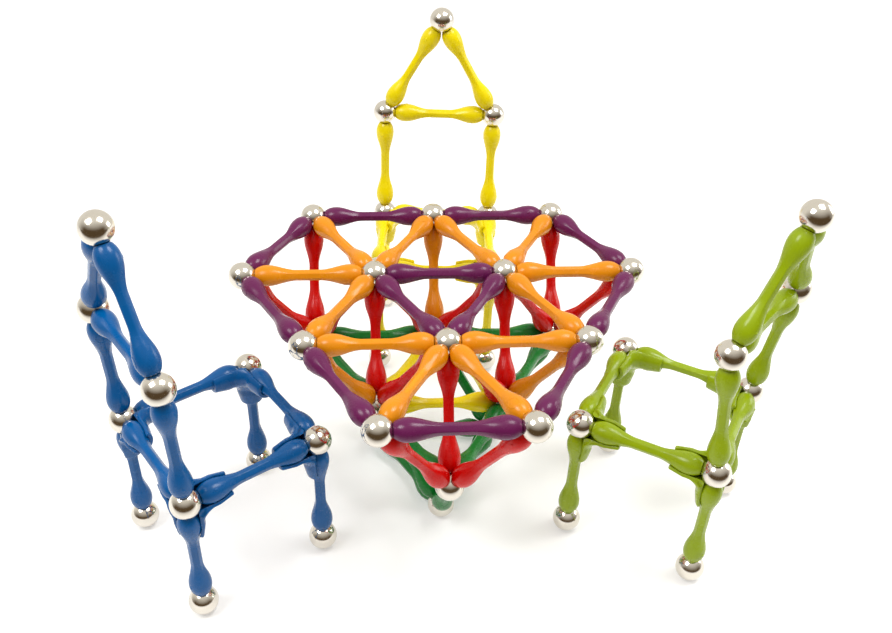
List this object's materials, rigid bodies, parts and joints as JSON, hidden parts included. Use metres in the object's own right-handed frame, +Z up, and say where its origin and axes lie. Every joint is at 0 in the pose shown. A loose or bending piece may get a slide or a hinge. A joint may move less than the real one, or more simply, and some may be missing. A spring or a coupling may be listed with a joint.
{
  "type": "magnetic desk sculpture",
  "caption": "Table and chairs built from magnetic dog-bone rods, steel balls and three-way corner brackets; chairs slide away and their backs fold.",
  "frame": {"origin": "on the desk surface, on the table's threefold axis", "axes": "+Z up along the table's threefold axis, +Y towards the yellow chair at the back, +X to the right as seen from the front"},
  "size_m": [0.3, 0.2452, 0.1846],
  "materials": {
    "purple_plastic": "glossy injection-moulded ABS",
    "orange_plastic": "glossy injection-moulded ABS",
    "red_plastic": "glossy injection-moulded ABS",
    "green_plastic": "glossy injection-moulded ABS",
    "yellow_plastic": "glossy injection-moulded ABS",
    "blue_plastic": "glossy injection-moulded ABS",
    "lime_plastic": "glossy injection-moulded ABS",
    "steel_ball": "polished bearing steel",
    "magnet": "nickel-plated sintered magnet"
  },
  "bodies": {
    "table": {"table_top_balls": "steel_ball", "table_lower_balls": "steel_ball", "table_rim_rods": "purple_plastic", "table_centre_rods": "purple_plastic", "table_spoke_rods": "orange_plastic", "table_red_struts": "red_plastic", "table_orange_struts": "orange_plastic", "table_middle_rim_rods": "green_plastic", "table_middle_centre_rods": "yellow_plastic", "table_leg_rods": "green_plastic", "table_base_rods": "green_plastic", "table_magnets": "magnet"},
    "blue_seat": {"blue_seat_rods": "blue_plastic", "blue_leg_rods": "blue_plastic", "blue_corner_brackets": "blue_plastic", "blue_seat_and_foot_balls": "steel_ball", "blue_seat_magnets": "magnet"},
    "blue_hinge": {"blue_hinge_balls": "steel_ball"},
    "blue_right_upright": {"blue_right_upright": "blue_plastic", "blue_right_upright_magnets": "magnet"},
    "blue_left_upright": {"blue_left_upright": "blue_plastic", "blue_left_upright_magnets": "magnet"},
    "blue_back": {"blue_back_rod": "blue_plastic", "blue_back_balls": "steel_ball", "blue_back_magnets": "magnet"},
    "blue_peak": {"blue_peak_rods": "blue_plastic", "blue_peak_ball": "steel_ball", "blue_peak_magnets": "magnet"},
    "lime_seat": {"lime_seat_rods": "lime_plastic", "lime_leg_rods": "lime_plastic", "lime_corner_brackets": "lime_plastic", "lime_seat_and_foot_balls": "steel_ball", "lime_seat_magnets": "magnet"},
    "lime_hinge": {"lime_hinge_balls": "steel_ball"},
    "lime_right_upright": {"lime_right_upright": "lime_plastic", "lime_right_upright_magnets": "magnet"},
    "lime_left_upright": {"lime_left_upright": "lime_plastic", "lime_left_upright_magnets": "magnet"},
    "lime_back": {"lime_back_rod": "lime_plastic", "lime_back_balls": "steel_ball", "lime_back_magnets": "magnet"},
    "lime_peak": {"lime_peak_rods": "lime_plastic", "lime_peak_ball": "steel_ball", "lime_peak_magnets": "magnet"},
    "yellow_seat": {"yellow_seat_rods": "yellow_plastic", "yellow_leg_rods": "yellow_plastic", "yellow_corner_brackets": "yellow_plastic", "yellow_seat_and_foot_balls": "steel_ball", "yellow_seat_magnets": "magnet"},
    "yellow_hinge": {"yellow_hinge_balls": "steel_ball"},
    "yellow_right_upright": {"yellow_right_upright": "yellow_plastic", "yellow_right_upright_magnets": "magnet"},
    "yellow_left_upright": {"yellow_left_upright": "yellow_plastic", "yellow_left_upright_magnets": "magnet"},
    "yellow_back": {"yellow_back_rod": "yellow_plastic", "yellow_back_balls": "steel_ball", "yellow_back_magnets": "magnet"},
    "yellow_peak": {"yellow_peak_rods": "yellow_plastic", "yellow_peak_ball": "steel_ball", "yellow_peak_magnets": "magnet"}
  },
  "joints": [
    {"name": "blue_slide", "type": "slide", "parent": "table", "child": "blue_seat", "axis": [-0.83, -0.5577, 0], "range_m": [0, 0.08]},
    {"name": "blue_lean", "type": "hinge", "parent": "blue_seat", "child": "blue_hinge", "pos_m": [-0.12219, -0.06005, 0.06635], "axis": [0.5577, -0.83, 0], "range_deg": [-20, 35]},
    {"name": "blue_sway", "type": "hinge", "parent": "blue_hinge", "child": "blue_right_upright", "pos_m": [-0.10546, -0.08495, 0.06635], "axis": [0.8296, 0.5575, 0.0297], "range_deg": [-15, 15]},
    {"name": "blue_sway_left", "type": "hinge", "parent": "blue_hinge", "child": "blue_left_upright", "pos_m": [-0.13892, -0.03515, 0.06635], "axis": [0.8296, 0.5575, 0.0297], "range_deg": [-15, 15]},
    {"name": "blue_level", "type": "hinge", "parent": "blue_right_upright", "child": "blue_back", "pos_m": [-0.10694, -0.08594, 0.12632], "axis": [0.8296, 0.5575, 0.0297], "range_deg": [-15, 15]},
    {"name": "blue_fold", "type": "hinge", "parent": "blue_back", "child": "blue_peak", "pos_m": [-0.12367, -0.06104, 0.12632], "axis": [0.5577, -0.83, 0], "range_deg": [-60, 60]},
    {"name": "lime_slide", "type": "slide", "parent": "table", "child": "lime_seat", "axis": [0.8526, -0.5225, 0], "range_m": [0, 0.08]},
    {"name": "lime_lean", "type": "hinge", "parent": "lime_seat", "child": "lime_hinge", "pos_m": [0.12591, -0.0514, 0.06635], "axis": [0.5225, 0.8526, 0], "range_deg": [-20, 35]},
    {"name": "lime_sway", "type": "hinge", "parent": "lime_hinge", "child": "lime_right_upright", "pos_m": [0.14158, -0.02582, 0.06635], "axis": [-0.7885, 0.615, 0], "range_deg": [-15, 15]},
    {"name": "lime_sway_left", "type": "hinge", "parent": "lime_hinge", "child": "lime_left_upright", "pos_m": [0.11023, -0.07698, 0.06635], "axis": [-0.7885, 0.615, 0], "range_deg": [-15, 15]},
    {"name": "lime_level", "type": "hinge", "parent": "lime_right_upright", "child": "lime_back", "pos_m": [0.1469, -0.02997, 0.12597], "axis": [-0.7885, 0.615, 0], "range_deg": [-15, 15]},
    {"name": "lime_fold", "type": "hinge", "parent": "lime_back", "child": "lime_peak", "pos_m": [0.12591, -0.0514, 0.12597], "axis": [0.6997, 0.7145, 0], "range_deg": [-60, 60]},
    {"name": "yellow_slide", "type": "slide", "parent": "table", "child": "yellow_seat", "axis": [0.075, 0.9972, 0], "range_m": [0, 0.08]},
    {"name": "yellow_lean", "type": "hinge", "parent": "yellow_seat", "child": "yellow_hinge", "pos_m": [0.0069, 0.13631, 0.06635], "axis": [-0.9972, 0.075, 0], "range_deg": [-20, 35]},
    {"name": "yellow_sway", "type": "hinge", "parent": "yellow_hinge", "child": "yellow_right_upright", "pos_m": [-0.02302, 0.13856, 0.06635], "axis": [-0.0744, -0.9895, 0.1236], "range_deg": [-15, 15]},
    {"name": "yellow_sway_left", "type": "hinge", "parent": "yellow_hinge", "child": "yellow_left_upright", "pos_m": [0.03681, 0.13406, 0.06635], "axis": [-0.0744, -0.9895, 0.1236], "range_deg": [-15, 15]},
    {"name": "yellow_level", "type": "hinge", "parent": "yellow_right_upright", "child": "yellow_back", "pos_m": [-0.02246, 0.14596, 0.12589], "axis": [-0.0744, -0.9895, 0.1236], "range_deg": [-15, 15]},
    {"name": "yellow_fold", "type": "hinge", "parent": "yellow_back", "child": "yellow_peak", "pos_m": [0.00745, 0.14371, 0.12589], "axis": [-0.9972, 0.075, 0], "range_deg": [-60, 60]}
  ],
  "couplings": [
    {"joint": "blue_sway_left", "follows": "blue_sway", "ratio": 1},
    {"joint": "blue_level", "follows": "blue_sway", "ratio": -1},
    {"joint": "lime_sway_left", "follows": "lime_sway", "ratio": 1},
    {"joint": "lime_level", "follows": "lime_sway", "ratio": -1},
    {"joint": "yellow_sway_left", "follows": "yellow_sway", "ratio": 1},
    {"joint": "yellow_level", "follows": "yellow_sway", "ratio": -1}
  ]
}
